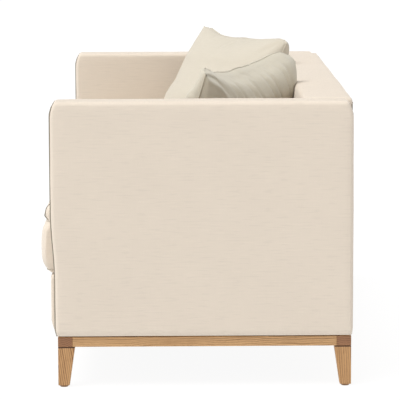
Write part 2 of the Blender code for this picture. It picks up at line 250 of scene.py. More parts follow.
def wood(name, grain, pith, colours, ring=0.0048, contrast=1.0, slope=0.0, joint_shadow_top=None):
    """Solid timber cut from a log along one axis, so faces show grain and ends show rings.

    grain is the axis that the fibres follow and pith is the log's centre beside the piece. colours are
    light and dark on the faces and light and dark on the end grain. Just below a given height a thin
    dark line is painted shadow, for the shade in the gap where the piece meets the one above it.
    """
    light, dark, end_light, end_dark = colours
    s = Shader(name, roughness=0.5, Coat_Weight=0.12, Coat_Roughness=0.35)
    parts = list(s.split(s.place()))
    normals = list(s.split(s.vector("ABSOLUTE", s.normal())))
    along = parts.pop(grain)
    end_normal = normals[grain]
    p, q = parts
    warp = s.noise(s.stretched((along, p, q), (5.0, 16, 16)))
    drift = s.times(s.math("SUBTRACT", warp, 0.5), 0.034)
    dp = s.math("ADD", s.math("SUBTRACT", p, pith[0]), drift)
    dq = s.math("SUBTRACT", s.math("MULTIPLY_ADD", along, slope, q), pith[1])
    dq = s.math("MULTIPLY_ADD", drift, 0.22, dq)
    radius = s.math("SQRT", s.math("ADD", s.math("POWER", dp, 2.0), s.math("POWER", dq, 2.0)))
    turns = s.math("DIVIDE", radius, ring)
    year = s.math("FRACT", turns)
    early = s.math("POWER", s.math("SUBTRACT", 1.0, year), 2.2)
    strength = s.noise(s.combine(s.math("FLOOR", turns), 0.5, s.times(along, 2.0)), scale=1.7, detail=1)
    fibre = s.noise(s.stretched((along, p, q), (22, 900, 900)), detail=3)
    pores = s.noise(s.stretched((along, p, q), (60, 1500, 1500)), detail=1)
    cloud = s.noise(s.stretched((along, p, q), (3, 20, 20)), detail=2)
    darkness = s.times(early, s.remap(strength, 0.3, 0.7, 0.35, 1.0))
    darkness = s.math("MULTIPLY_ADD", s.remap(pores, 0.58, 0.72), 0.35, darkness)
    darkness = s.math("MULTIPLY_ADD", s.math("SUBTRACT", fibre, 0.5), 0.9, darkness)
    darkness = s.math("MULTIPLY_ADD", s.math("SUBTRACT", cloud, 0.5), 0.5, darkness)
    darkness = s.times(darkness, contrast)
    darkness = s.math("MINIMUM", s.math("MAXIMUM", darkness, 0.0), 1.0)
    # Painted shadow: a thin dark line just below the given height, for the shade in the gap under the part
    # above.
    if joint_shadow_top:
        line = s.remap(along, joint_shadow_top - 0.0036, joint_shadow_top - 0.0022)
        darkness = s.math("MINIMUM", s.math("ADD", line, darkness), 1.0)
        dark = s.mix(line, dark, JOINT_SHADOW)
    face = s.mix(darkness, light, dark)
    end = s.mix(darkness, end_light, end_dark)
    s.colour(s.mix(s.remap(end_normal, 0.55, 0.8), face, end))
    s.bump(s.math("SUBTRACT", 1.0, darkness), 0.0002, 0.35)
    return s.material


def foam():
    s = Shader("foam_cells", roughness=0.95)
    place = s.place()
    cells = s.noise(place, scale=900, detail=3)
    stain = s.noise(place, scale=6, detail=2)
    shade = s.math("MULTIPLY_ADD", cells, 0.28, 0.80)
    s.colour(s.tint(srgb(236, 222, 176), s.math("MULTIPLY_ADD", stain, 0.08, shade)))
    s.bump(cells, 0.0006, 0.7)
    return s.material


def wadding():
    s = Shader("wadding_fibres", roughness=0.97, Sheen_Weight=0.3)
    place = s.place()
    fibres = s.noise(place, scale=240, detail=6, roughness=0.7, distortion=1.5)
    s.colour(s.tint(srgb(238, 238, 234), s.math("MULTIPLY_ADD", fibres, 0.18, 0.88)))
    s.bump(fibres, 0.0015, 0.8)
    return s.material


def webbing():
    """Woven elastic strap: ribs across its width and cords along it."""
    s = Shader("webbing_weave", roughness=0.85)
    x, y, z = s.split(s.place())
    rib = s.math("ABSOLUTE", s.math("SINE", s.times(z, 1500)))
    cord = s.math("ABSOLUTE", s.math("SINE", s.times(x, 900)))
    weave = s.math("MAXIMUM", rib, cord)
    s.colour(s.tint(srgb(78, 72, 66), s.math("MULTIPLY_ADD", weave, 0.5, 0.6)))
    s.bump(weave, 0.0005, 0.8)
    return s.material


def dust_cloth():
    """Black non-woven sheet with rows of small bonded dimples."""
    s = Shader("dust_cloth_bonded", roughness=0.9, Sheen_Weight=0.2)
    x, y, z = s.split(s.place())
    dots = s.times(s.math("SINE", s.times(x, 1800)), s.math("SINE", s.times(y, 1800)))
    fibres = s.noise(s.combine(x, y), scale=500, detail=4, roughness=0.7)
    shade = s.math("MULTIPLY_ADD", fibres, 0.8, 0.6)
    s.colour(s.tint(srgb(44, 44, 46), shade))
    s.bump(s.math("MULTIPLY_ADD", dots, 0.3, fibres), 0.0004, 0.8)
    return s.material


def steel(name, base, roughness):
    """Drawn or plated steel with fine streaks and a few dull spots."""
    s = Shader(name, roughness=roughness, metallic=1.0)
    place = s.place()
    spots = s.noise(place, scale=160, detail=4)
    streaks = s.noise(s.vector("MULTIPLY", place, (2200, 2200, 300)), detail=2)
    s.colour(s.tint(base, s.math("MULTIPLY_ADD", spots, 0.35, 0.80)))
    s.feed(s.bsdf.inputs["Roughness"], s.math("MULTIPLY_ADD", spots, 0.30, roughness - 0.15))
    s.bump(streaks, 0.00005, 0.4)
    return s.material


def glide_plastic():
    s = Shader("glide_plastic_grained", roughness=0.6)
    grain = s.noise(s.place(), scale=1400, detail=2)
    scuffs = s.noise(s.place(), scale=120, detail=3)
    s.colour(s.tint(srgb(142, 106, 70), s.math("MULTIPLY_ADD", scuffs, 0.4, 0.80)))
    s.feed(s.bsdf.inputs["Roughness"], s.math("MULTIPLY_ADD", scuffs, 0.3, 0.45))
    s.bump(grain, 0.0001, 0.5)
    return s.material


LINEN = srgb(224, 211, 195)
PILLOW_LINEN = {"left": srgb(201, 193, 177), "right": srgb(202, 195, 178)}
OAK = (srgb(210, 166, 116), srgb(138, 95, 54), srgb(164, 116, 80), srgb(96, 62, 38))
LEG_OAK = (srgb(199, 153, 103), srgb(118, 76, 40), srgb(150, 104, 70), srgb(90, 58, 36))
# Painted shadow colour for the thin line at the top of each leg, under the rail.
JOINT_SHADOW = srgb(70, 42, 22)
PINE = (srgb(228, 198, 152), srgb(190, 146, 98), srgb(210, 176, 128), srgb(160, 120, 80))

linen_body = linen("linen_body", LINEN)
# Painted shade: these seam cords are dark to stand for the shadow in the grooves along the seams and beside
# the piping.
seam_shade = linen("seam_shade", srgb(131, 122, 107), slub=0.3)
# Painted shade: the cushions' border seam cords are darker than the linen, for the shade along those seams.
border_seam_shade = linen("border_seam_shade", srgb(190, 180, 163), slub=0.3)
foam_cells = foam()
wadding_fibres = wadding()


# ---------------------------------------------------------------- mesh work


def lattice_axis(low, high, radius, cell, rows=()):
    """Grid lines that are close together inside the rounded edges and even between them."""
    edge = [low + radius * (1 - math.cos(math.radians(angle))) for angle in (0, 22, 45, 67)]
    count = max(1, round((high - low - 2 * radius) / cell))
    middle = list(np.linspace(low + radius, high - radius, count + 1))
    far = [low + high - value for value in reversed(edge)]
    lines = [line for line in edge + middle + far if all(abs(line - row) > 0.004 for row in rows)]
    return sorted(lines + list(rows))


def soft_block(low, high, radius, cell, rows=()):
    """A closed box surface with rounded edges, as points, outward directions and faces.

    rows are heights that get a grid line of their own, for a seam.
    """
    low, high = np.array(low, float), np.array(high, float)
    axes = [lattice_axis(low[i], high[i], radius, cell, rows if i == 2 else ()) for i in range(3)]
    index = {}
    points = []
    faces = []

    def vertex(ijk):
        if ijk not in index:
            index[ijk] = len(points)
            points.append([axes[a][ijk[a]] for a in range(3)])
        return index[ijk]

    for axis in range(3):
        u, v = (axis + 1) % 3, (axis + 2) % 3
        for end in (0, len(axes[axis]) - 1):
            for i in range(len(axes[u]) - 1):
                for j in range(len(axes[v]) - 1):
                    ring = []
                    for di, dj in ((0, 0), (1, 0), (1, 1), (0, 1)):
                        ijk = [0, 0, 0]
                        ijk[axis], ijk[u], ijk[v] = end, i + di, j + dj
                        ring.append(vertex(tuple(ijk)))
                    faces.append(ring if end else ring[::-1])
    points = np.array(points)
    core = np.clip(points, low + radius, high - radius)
    away = points - core
    away /= np.linalg.norm(away, axis=1, keepdims=True)
    return core + away * radius, away, faces


def finish_mesh(name, points, faces, material, body, smooth=True):
    mesh = bpy.data.meshes.new(name)
    mesh.from_pydata([tuple(point) for point in points], [], faces)
    mesh.update()
    if smooth:
        mesh.shade_smooth()
    obj = bpy.data.objects.new(name, mesh)
    bpy.context.scene.collection.objects.link(obj)
    mesh.materials.append(material)
    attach(obj, body)
    return obj


def tube(name, path, radius, material, body, closed=False, sides=8):
    """A round cord along the path, for piping and seams. The radius may differ from point to point."""
    path = [Vector(point) for point in path]
    count = len(path)
    radii = np.broadcast_to(radius, count)
    rings = []
    up = None
    for i, point in enumerate(path):
        before = path[i - 1] if closed or i else path[i]
        after = path[(i + 1) % count] if closed or i < count - 1 else path[i]
        along = (after - before).normalized()
        if up is None:
            up = along.orthogonal().normalized()
        up = (up - along * up.dot(along)).normalized()
        side = along.cross(up)
        turns = np.arange(sides) * 2 * math.pi / sides
        rings.append([point + (up * math.cos(a) + side * math.sin(a)) * radii[i] for a in turns])
    points = [point for ring in rings for point in ring]
    faces = []
    for i in range(count if closed else count - 1):
        j = (i + 1) % count
        for k in range(sides):
            m = (k + 1) % sides
            faces.append([i * sides + k, i * sides + m, j * sides + m, j * sides + k])
    if not closed:
        faces.append(list(range(sides))[::-1])
        faces.append([(count - 1) * sides + k for k in range(sides)])
    return finish_mesh(name, points, faces, material, body)


def tighten_hem(points, low, radius):
    """Turns the lower rounded edge into a tight fold that stands a little above the plinth."""
    z = points[:, 2].copy()
    folded = low + HEM_GAP + (z - low) * HEM_SQUEEZE
    above = low + HEM_GAP + radius * HEM_SQUEEZE + (z - low - radius)
    points[:, 2] = np.where(z < low + radius, folded, above)
    reach = smoothstep(z, low + radius, low + 0.10)
    points[:, 2] += reach * (z - points[:, 2])


def ripple(points, scale, seed):
    """Smooth noise between -1 and 1 at each point."""
    shift = Vector((seed, seed * 1.7, -seed))
    return np.array([noise.noise(Vector(point) * scale + shift) for point in points])


def smoothstep(value, low, high):
    t = np.clip((value - low) / (high - low), 0, 1)
    return t * t * (3 - 2 * t)


def dome(points, low, high, axis, power=0.5):
    """1 at the middle of a face whose normal is the axis, falling to 0 at its borders."""
    result = np.ones(len(points))
    for other in range(3):
        if other != axis:
            t = np.clip((points[:, other] - low[other]) / (high[other] - low[other]), 0, 1)
            result *= (4 * t * (1 - t)) ** power
    return result


# ---------------------------------------------------------------- box arms


def arm_front_tuck(z, low, high):
    """How far the arm's front edge stands back at height z: soft top corner, drawn-in lower part."""
    shoulder = smoothstep(z, high - 0.036, high)
    tuck = 1 - smoothstep(z, 0.290, 0.475)
    hem = 1 - smoothstep(z, low, low + 0.022)
    return 0.008 * shoulder + 0.0095 * tuck + 0.0050 * hem


def arm_back_tuck(z, low, high):
    shoulder = smoothstep(z, high - 0.036, high)
    hem = 1 - smoothstep(z, low, low + 0.018)
    return 0.0035 + 0.010 * shoulder + 0.004 * hem


def arm_shape(low, high, outer):
    """One arm's upholstery: fabric pulled tight over foam, a little fuller at mid height."""
    points, away, faces = soft_block(low, high, EDGE_RADIUS, 0.014)
    inner_side = away[:, 0] * outer < -0.5
    for axis, swell in ((0, 0.0035), (1, 0.0015), (2, 0.0020)):
        facing = np.abs(away[:, axis]) ** 3 * np.sign(away[:, axis])
        lift = facing * swell * dome(points, low, high, axis, 0.35)
        points[:, axis] += np.where(inner_side, 0.2 * lift, lift)
    depth = (points[:, 1] - low[1]) / (high[1] - low[1])
    front = smoothstep(-depth, -0.06, -0.005)
    points[:, 1] += front * arm_front_tuck(points[:, 2], low[2], high[2])
    back = smoothstep(depth, 0.94, 0.995)
    points[:, 1] -= back * arm_back_tuck(points[:, 2], low[2], high[2])
    # Short puckers where the fabric is stapled under the frame.
    outside = smoothstep(away[:, 0] * outer, 0.6, 1.0)
    reach = np.exp(-(points[:, 2] - low[2]) / 0.028)
    pucker = np.sin(points[:, 1] * 2 * math.pi / 0.043 + 3.5 * ripple(points, 9, 4.0))
    uneven = 0.5 + 0.5 * ripple(points * (1, 1, 0), 14, 9.0)
    points[:, 0] += outer * outside * 0.0016 * reach * pucker * uneven
    quiet = np.where(inner_side, 0.3, 1.0)
    points += away * (quiet * (0.0009 * ripple(points, 6, 2.0) + 0.0003 * ripple(points, 24, 6.0)))[:, None]
    tighten_hem(points, low[2], EDGE_RADIUS)
    return points, faces


def arm_seam(low, high, outer, end):
    """The seam where the side panel meets the front or back panel, up one corner."""
    path = []
    for z in np.linspace(low[2] + 0.003, high[2] - (0.004 if end < 0 else 0.030), 70):
        if end < 0:
            y = low[1] - 0.0006 + float(arm_front_tuck(z, low[2], high[2]))
        else:
            y = high[1] - 0.0006 - float(arm_back_tuck(z, low[2], high[2]))
        rounding = 0.006 * float(smoothstep(z, high[2] - 0.010, high[2]))
        x_edge = high[0] if outer > 0 else low[0]
        path.append((x_edge - outer * 0.0095, y - end * rounding, z))
    return path


def slimmer_arm_foam(side):
    """The arm's foam, thinner where the cover is drawn in: the front, the top's back end, the hem."""
    mesh = node_object(f"arm_foam_{side}").data.copy()
    low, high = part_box(f"arm_foam_{side}")
    front, back = low.y + ARM_FOAM, high.y - ARM_FOAM
    for vertex in mesh.vertices:
        place = vertex.co
        if place.y < front:
            place.y = front + (place.y - front) * 0.20
        if place.y > back:
            place.y = back + (place.y - back) * (0.20 if place.z > high.z - 0.05 else 0.50)
        if place.z < low.z + 0.015:
            place.z += 0.024
        if place.z > high.z - 0.004:
            place.z -= 0.005
    obj = bpy.data.objects.new(f"arm_padding_{side}", mesh)
    bpy.context.scene.collection.objects.link(obj)
    mesh.materials.clear()
    mesh.materials.append(foam_cells)
    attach(obj, "sofa_base")
    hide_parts(f"arm_foam_{side}")


def build_arms():
    for side, sx in SIDES:
        low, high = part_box(f"arm_cover_{side}")
        points, faces = arm_shape(low, high, sx)
        arm = finish_mesh(f"arm_upholstery_{side}", points, faces, linen_body, "sofa_base")
        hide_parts(f"arm_cover_{side}")
        slimmer_arm_foam(side)
        for end, sy in ENDS:
            for face, way in (("outer", sx), ("inner", -sx)):
                path = arm_seam(low, high, way, sy)
                radius = ARM_SEAM_RADIUS if sy < 0 else 0.7 * SEAM_RADIUS
                tube(f"arm_seam_{side}_{end}_{face}", path, radius, seam_shade, "sofa_base")


# ---------------------------------------------------------------- back and apron


def build_back():
    low, high = np.array(BACK_LOW), np.array(BACK_HIGH)
    points, away, faces = soft_block(low, high, EDGE_RADIUS, 0.016)
    for axis, swell in ((1, 0.005), (2, 0.003)):
        facing = np.abs(away[:, axis]) ** 3 * np.sign(away[:, axis])
        points[:, axis] += facing * swell * dome(points, low, high, axis, 0.35)
    rake = (high[1] - low[1]) - BACK_TOP_THICK
    rise = np.clip((points[:, 2] - DECK_TOP) / (high[2] - DECK_TOP), 0, 1)
    front_share = (high[1] - points[:, 1]) / (high[1] - low[1])
    points[:, 1] += rake * rise * front_share
    loose = 1 - np.abs(away[:, 0])
    slack = 0.0006 + 0.0010 * ripple(points, 6, 11.0) + 0.0003 * ripple(points, 24, 3.0)
    points += away * (loose * slack)[:, None]
    tighten_hem(points, low[2], EDGE_RADIUS)
    back = finish_mesh("back_upholstery", points, faces, linen_body, "sofa_base")
    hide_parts("back_cover")
    inset = 0.004
    for side, sx in SIDES:
        x = (high[0] if sx > 0 else low[0]) - sx * 0.0015
        path = [(x, high[1] - 0.0005, z) for z in np.linspace(low[2] + inset, high[2] - 0.016, 20)]
        tube(f"back_seam_{side}", path, SEAM_RADIUS, seam_shade, "sofa_base")
    path = [(x, high[1] + 0.0012, high[2] - 0.014) for x in np.linspace(low[0] + inset, high[0] - inset, 60)]
    tube("back_top_seam", path, SEAM_RADIUS * 0.8, seam_shade, "sofa_base")


def build_apron():
    """The padded strip under the seat cushions, drawn in at its hem."""
    low, high = np.array(APRON_LOW), np.array(APRON_HIGH)
    points, away, faces = soft_block(low, high, APRON_EDGE_RADIUS, 0.013)
    facing = np.clip(-away[:, 1], 0, 1) ** 2
    points[:, 1] -= facing * 0.0015 * dome(points, low, high, 1, 0.3)
    hem = 1 - smoothstep(points[:, 2], low[2], low[2] + 0.032)
    front = smoothstep(-points[:, 1], -low[1] - 0.012, -low[1] - 0.002)
    points[:, 1] += 0.0075 * hem * front
    pucker = np.sin(points[:, 0] * 2 * math.pi / 0.047 + 3.5 * ripple(points, 8, 5.0))
    uneven = 0.5 + 0.5 * ripple(points * (1, 1, 0), 13, 2.0)
    points[:, 1] -= facing * 0.0013 * np.exp(-(points[:, 2] - low[2]) / 0.028) * pucker * uneven
    points += away * ((1 - np.abs(away[:, 0])) * 0.0007 * ripple(points, 8, 8.0))[:, None]
    tighten_hem(points, low[2], APRON_EDGE_RADIUS)
    apron = finish_mesh("apron_upholstery", points, faces, linen_body, "sofa_base")
    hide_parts("apron_cover")
    foam_low, foam_high = (np.array(corner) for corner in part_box("apron_foam"))
    inset = np.array((0.004, 0.0, 0.004))
    points, away, faces = soft_block(foam_low + inset, foam_high - inset, 0.003, 0.03)
    hem = 1 - smoothstep(points[:, 2], foam_low[2], foam_low[2] + 0.045)
    points[:, 1] += np.where(points[:, 1] < foam_low[1] + 0.004, 0.002 + 0.0035 * hem, 0)
    pad = finish_mesh("apron_padding", points, faces, foam_cells, "sofa_base")
    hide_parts("apron_foam")


# ---------------------------------------------------------------- cloth


def inflate(obj, cap, stiffness=15.0, held=None):
    """Blows the closed mesh up as cloth, limits how far each point goes and keeps the result.

    held is the list of points that stay where they are.
    """
    start = np.array([v.co for v in obj.data.vertices])
    cloth = obj.modifiers.new("Cloth", "CLOTH")
    settings = cloth.settings
    settings.quality = 6
    settings.mass = 0.3
    settings.air_damping = 5.0
    settings.tension_stiffness = stiffness
    settings.compression_stiffness = stiffness
    settings.shear_stiffness = stiffness / 3
    settings.bending_stiffness = 0.4
    settings.use_pressure = True
    settings.uniform_pressure_force = PRESSURE
    settings.effector_weights.gravity = 0.0
    cloth.collision_settings.use_collision = False
    cloth.collision_settings.use_self_collision = False
    cloth.point_cache.frame_start = 1
    cloth.point_cache.frame_end = CLOTH_FRAMES
    if held is not None:
        group = obj.vertex_groups.new(name="held")
        group.add([int(i) for i in held], 1.0, "REPLACE")
        settings.vertex_group_mass = "held"
    scene = bpy.context.scene
    scene.frame_start, scene.frame_end = 1, CLOTH_FRAMES
    for number in range(1, CLOTH_FRAMES + 1):
        scene.frame_set(number)
    graph = bpy.context.evaluated_depsgraph_get()
    result = obj.evaluated_get(graph).to_mesh()
    end = np.array([v.co for v in result.vertices])
    obj.evaluated_get(graph).to_mesh_clear()
    obj.modifiers.remove(cloth)
    scene.frame_set(1)
    move = end - start
    length = np.linalg.norm(move, axis=1, keepdims=True)
    limited = move * np.minimum(1, cap / np.maximum(length, 1e-9))
    obj.data.vertices.foreach_set("co", (start + limited).ravel())
    obj.data.update()


def subdivide(obj, levels=1):
    modifier = obj.modifiers.new("smooth", "SUBSURF")
    modifier.levels = levels
    modifier.render_levels = levels


def vertices_of(obj):
    return np.array([v.co for v in obj.data.vertices])


def set_vertices(obj, points):
    obj.data.vertices.foreach_set("co", np.asarray(points, float).ravel())
    obj.data.update()


# ---------------------------------------------------------------- seat cushions

SEAM_TOP = 0.431
SEAM_BOTTOM = 0.301
CUSHION_CORNER = 0.018
BOXING_HEIGHTS = (0.290, SEAM_BOTTOM, 0.312, 0.330, 0.365, 0.405, 0.420, SEAM_TOP, 0.440, 0.449, 0.464, 0.479)
BOXING_SWELL = (-0.004, 0.0, 0.0085, 0.0130, 0.0140, 0.0115, 0.0075, -0.002, 0.0090, 0.0125, 0.0125, 0.0090)
CUSHION_TUCK = np.array((0.004, 0.0135, 0.0))  # the seams lie this far inside the cushion's box


def cushion_loop(low, high, z, radius, step=0.010):
    """A rounded rectangle in plan at height z, for the cushion's seams."""
    corners = (
        (high[0] - radius, high[1] - radius, 0),
        (low[0] + radius, high[1] - radius, 90),
        (low[0] + radius, low[1] + radius, 180),
        (high[0] - radius, low[1] + radius, 270),
    )
    path = []
    for x, y, start in corners:
        for angle in range(start, start + 91, 15):
            a = math.radians(angle)
            path.append((x + radius * math.cos(a), y + radius * math.sin(a), z))
    dense = []
    for i, point in enumerate(path):
        after = path[(i + 1) % len(path)]
        pieces = max(1, round(math.dist(point, after) / step))
        for k in range(pieces):
            dense.append([a + (b - a) * k / pieces for a, b in zip(point, after)])
    return dense


def filling(name, outer_points, faces, margin, material, body, node):
    """What fills a cover: the cover's own shape drawn in by a margin on every side."""
    low, high = outer_points.min(0), outer_points.max(0)
    centre = (low + high) / 2
    scale = 1 - 2 * np.array(margin) / (high - low)
    inside = finish_mesh(name, centre + (outer_points - centre) * scale, faces, material, body)
    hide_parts(node)


def corner_seam(surface, x_edge, y_front, way):
    """A short seam that shapes a front corner, from the upper border seam to the top.

    It lies on the surface, met by rays that turn from level to nearly straight down.
    """
    path = []
    for angle in np.radians(np.linspace(-10, 84, 20)):
        x = x_edge + way * (0.007 + 0.013 * angle)
        pivot = Vector((x, y_front + 0.035, SEAM_TOP + 0.009))
        inward = Vector((0, math.cos(angle), -math.sin(angle)))
        hit = surface.ray_cast(pivot - inward * 0.15, inward)[0]
        if hit is not None:
            path.append(hit)
    return path


def build_cushion(side, sx):
    """A boxed seat cushion blown up between its two border seams, pressed flat by its neighbours."""
    low, high = (np.array(corner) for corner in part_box(f"seat_cushion_cover_{side}"))
    start_low = low + CUSHION_TUCK + (0, 0, 0.001)
    start_high = high - CUSHION_TUCK + (0, 0.008, 0.003)
    rows = (SEAM_BOTTOM, SEAM_TOP)
    points, away, faces = soft_block(start_low, start_high, CUSHION_CORNER, 0.013, rows)
    body = f"seat_cushion_{side}"
    cushion = finish_mesh(f"seat_cushion_upholstery_{side}", points, faces, linen_body, body)
    z = points[:, 2]
    sideways = np.hypot(away[:, 0], away[:, 1]) > 0.3
    flat = np.flatnonzero(z < start_low[2] + 0.001)
    seams = np.flatnonzero(sideways & ((np.abs(z - SEAM_TOP) < 0.001) | (np.abs(z - SEAM_BOTTOM) < 0.001)))
    inflate(cushion, 0.010, held=np.concatenate((flat, seams)))

    points = vertices_of(cushion)
    # The boxing swells between the border seams and the top rolls over the upper one.
    full = np.interp(z, BOXING_HEIGHTS, BOXING_SWELL) * (1 + 0.12 * ripple(points * (1, 1, 0), 6, 4.0 + sx))
    points += away * (1, 1, 0) * full[:, None]
    top = np.clip(away[:, 2], 0, 1)
    across = np.clip((points[:, 0] - low[0]) / (high[0] - low[0]), 0, 1)
    deep = np.clip((points[:, 1] - low[1]) / (high[1] - low[1]), 0, 1)
    crown = (4 * across * (1 - across)) ** 0.5 * (4 * deep * (1 - deep)) ** 0.5
    border = 1 - smoothstep(deep, 0.03, 0.16)
    points[:, 2] += top * (0.003 * crown + 0.006 * border - 0.010 * smoothstep(deep, 0.25, 0.75))
    creases = 0.0016 * ripple(points * (1.0, 2.2, 1.0), 11, 3.0 + sx)
    creases += 0.0007 * ripple(points, 30, 7.0 + sx)
    creases[seams] = 0
    points += away * creases[:, None]
    # It lies flat on the deck and is pressed flat by the arm, the other cushion and the back.
    points[:, 0] = np.clip(points[:, 0], low[0] - 0.0005, high[0] + 0.0005)
    points[:, 1] = np.minimum(points[:, 1], high[1] + 0.003)
    points[:, 2] = np.maximum(points[:, 2], low[2] + 0.0003)
    set_vertices(cushion, points)
    subdivide(cushion)
    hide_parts(f"seat_cushion_cover_{side}")
    margin = (0.008, 0.010, 0.008)
    core = f"seat_cushion_core_{side}"
    filling(f"seat_cushion_foam_{side}", points, faces, margin, foam_cells, body, core)
    for label, z_seam in (("top", SEAM_TOP), ("bottom", SEAM_BOTTOM)):
        loop = cushion_loop(start_low, start_high, z_seam, CUSHION_CORNER)
        tube(f"seat_cushion_seam_{label}_{side}", loop, SEAM_RADIUS, border_seam_shade, body, closed=True)
    surface = BVHTree.FromPolygons([Vector(point) for point in points], faces)
    for end, x_edge, way in (("inner", start_low[0], 1), ("outer", start_high[0], -1)):
        path = corner_seam(surface, x_edge, start_low[1], way)
        tube(f"seat_cushion_corner_seam_{end}_{side}", path, CORNER_SEAM_RADIUS, seam_shade, body)


# ---------------------------------------------------------------- pillows


def pillow_panels(n, width, height, thick, bow):
    """A plump pillow: two panels of n by n cells that share their border."""
    steps = np.sin(np.linspace(-1, 1, n + 1) * math.pi / 2) * 0.45 + np.linspace(-1, 1, n + 1) * 0.55
    points, index = [], {}
    for face in (-1, 1):
        for i, u in enumerate(steps):
            for j, v in enumerate(steps):
                if (i in (0, n) or j in (0, n)) and face == 1:
                    index[face, i, j] = index[-1, i, j]
                    continue
                x = u * width / 2 * (1 - bow * (1 - v * v))
                z = v * height / 2 * (1 - bow * (1 - u * u))
                y = face * thick / 2 * max(0.0, (1 - u**4) * (1 - v**4)) ** 0.42
                index[face, i, j] = len(points)
                points.append((x, y, z))
    faces = []
    for face in (-1, 1):
        for i in range(n):
            for j in range(n):
                ring = [index[face, a, b] for a, b in ((i, j), (i + 1, j), (i + 1, j + 1), (i, j + 1))]
                faces.append(ring[::-1] if face == 1 else ring)
    border = [(i, 0) for i in range(n)] + [(n, j) for j in range(n)]
    border += [(i, n) for i in range(n, 0, -1)] + [(0, j) for j in range(n, 0, -1)]
    grid = np.zeros((len(points), 3))
    for (face, i, j), k in index.items():
        grid[k] = steps[i], steps[j], face
    border = [index[-1, i, j] for i, j in border]
    grid[border, 2] = 0
    return np.array(points), faces, border, grid


def fold(u, v, start, end, width, depth):
    """A crease along a straight line on the pillow's panel, with a ridge beside it."""
    start, end = np.array(start), np.array(end)
    line = end - start
    length = np.linalg.norm(line)
    line = line / length
    du, dv = u - start[0], v - start[1]
    along = (du * line[0] + dv * line[1]) / length
    off = dv * line[0] - du * line[1]
    fade = smoothstep(along, -0.08, 0.15) * (1 - smoothstep(along, 0.45, 1.05))
    profile = np.exp(-((off / width) ** 2)) - 0.8 * np.exp(-(((off - 1.8 * width) / (1.2 * width)) ** 2))
    return -depth * fade * profile


# Folds on a pillow's back panel: start and end across (1 is the end by the arm) and up (1 is the
# top), then width and depth. The first is the pinch at the outer top corner.
BACK_FOLDS = (
    ((0.99, 0.99), (0.60, 0.70), 0.030, 0.0240),
    ((0.90, 0.70), (0.66, 0.50), 0.026, 0.0080),
    ((0.60, 0.99), (0.38, 0.52), 0.020, 0.0130),
    ((0.45, 1.01), (0.10, 0.20), 0.026, 0.0210),
    ((0.21, 0.97), (0.00, 0.48), 0.018, 0.0150),
    ((0.10, 1.02), (-0.24, 0.26), 0.025, 0.0220),
    ((-0.16, 0.98), (-0.36, 0.44), 0.019, 0.0160),
    ((-0.27, 1.02), (-0.56, 0.22), 0.024, 0.0220),
    ((-0.50, 0.99), (-0.66, 0.50), 0.018, 0.0150),
    ((-0.60, 1.02), (-0.80, 0.36), 0.022, 0.0170),
)
FRONT_FOLDS = (
    ((0.95, 0.92), (0.66, 0.62), 0.040, 0.0050),
    ((-0.94, 0.92), (-0.70, 0.60), 0.040, 0.0060),
    ((0.94, -0.92), (0.66, -0.58), 0.040, 0.0060),
    ((-0.94, -0.92), (-0.66, -0.62), 0.040, 0.0055),
    ((0.30, -0.95), (0.22, -0.60), 0.030, 0.0030),
    ((-0.20, -0.95), (-0.16, -0.62), 0.030, 0.0030),
)
# How far the top edge rises or dips along its length, from the inner end to the one by the arm.
TOP_EDGE_PLACES = (-1.0, -0.92, -0.75, -0.45, -0.15, 0.25, 0.55, 0.80, 1.0)
TOP_EDGE = {
    "right": (-0.010, 0.006, 0.015, -0.003, -0.016, -0.026, -0.022, -0.007, -0.008),
    "left": (0.000, 0.012, 0.018, 0.018, 0.018, 0.016, 0.017, 0.030, 0.028),
}
# How far the top seam is bent over towards the front, and how plump the front is above and below.
TOP_LEAN = {"right": 0.045, "left": 0.0}
FRONT_TOP = {"right": 0.40, "left": 0.62}
LOWER_FRONT = {"right": 1.0, "left": 1.22}


def pillow_form(points, grid, side, sx):
    """The blown-up pillow with its folds, its sunken filling and its bent top edge."""
    u, v, face = grid.T
    outward = sx * u
    inner = (1 - u**2) ** 0.3 * (1 - v**2) ** 0.3
    between_corners = 1 - u**6
    relief = np.zeros(len(points))
    for folds, which in ((BACK_FOLDS, 1), (FRONT_FOLDS, -1)):
        for start, end, width, depth in folds:
            relief += (face == which) * fold(outward, v, start, end, width, depth)
    relief += 0.0020 * ripple(points * (1, 0, 1) + (0, 0.3, 0) * face[:, None], 13, 5.0 + sx)
    relief += 0.0008 * ripple(points, 40, 2.0)
    points[:, 1] += face * relief * inner
    # The filling has sunk a little: the lower half is fuller than the top.
    points[:, 1] *= 1 + 0.08 * (smoothstep(-v, -0.6, 0.4) - 0.5)
    points[:, 2] += np.interp(outward, TOP_EDGE_PLACES, TOP_EDGE[side]) * smoothstep(v, 0.35, 1.0)
    if TOP_LEAN[side]:
        crest = smoothstep(v, 0.72, 0.95) * (1 - u**8)
        points[:, 2] += 0.0030 * crest * ripple(points * (1, 0, 0), 34, 1.0)
    upper = smoothstep(v, 0.45, 1.0)
    lower = smoothstep(-v, -0.45, 0.3)
    plump = 1 - (1 - FRONT_TOP[side]) * upper + (LOWER_FRONT[side] - 1) * lower
    points[:, 1] *= np.where(face < 0, plump, 1.0)
    # The back panel rolls up behind the top seam, which may be bent over towards the front.
    points[:, 2] += 0.012 * (face > 0) * np.exp(-(((v - 0.84) / 0.12) ** 2)) * between_corners
    points[:, 1] -= TOP_LEAN[side] * smoothstep(v, 0.6, 1.0) * between_corners
    # The top corner by the back is blunt.
    blunt = smoothstep(-outward, 0.80, 1.0) * smoothstep(v, 0.6, 1.0)
    points[:, 0] += sx * 0.012 * blunt
    return points


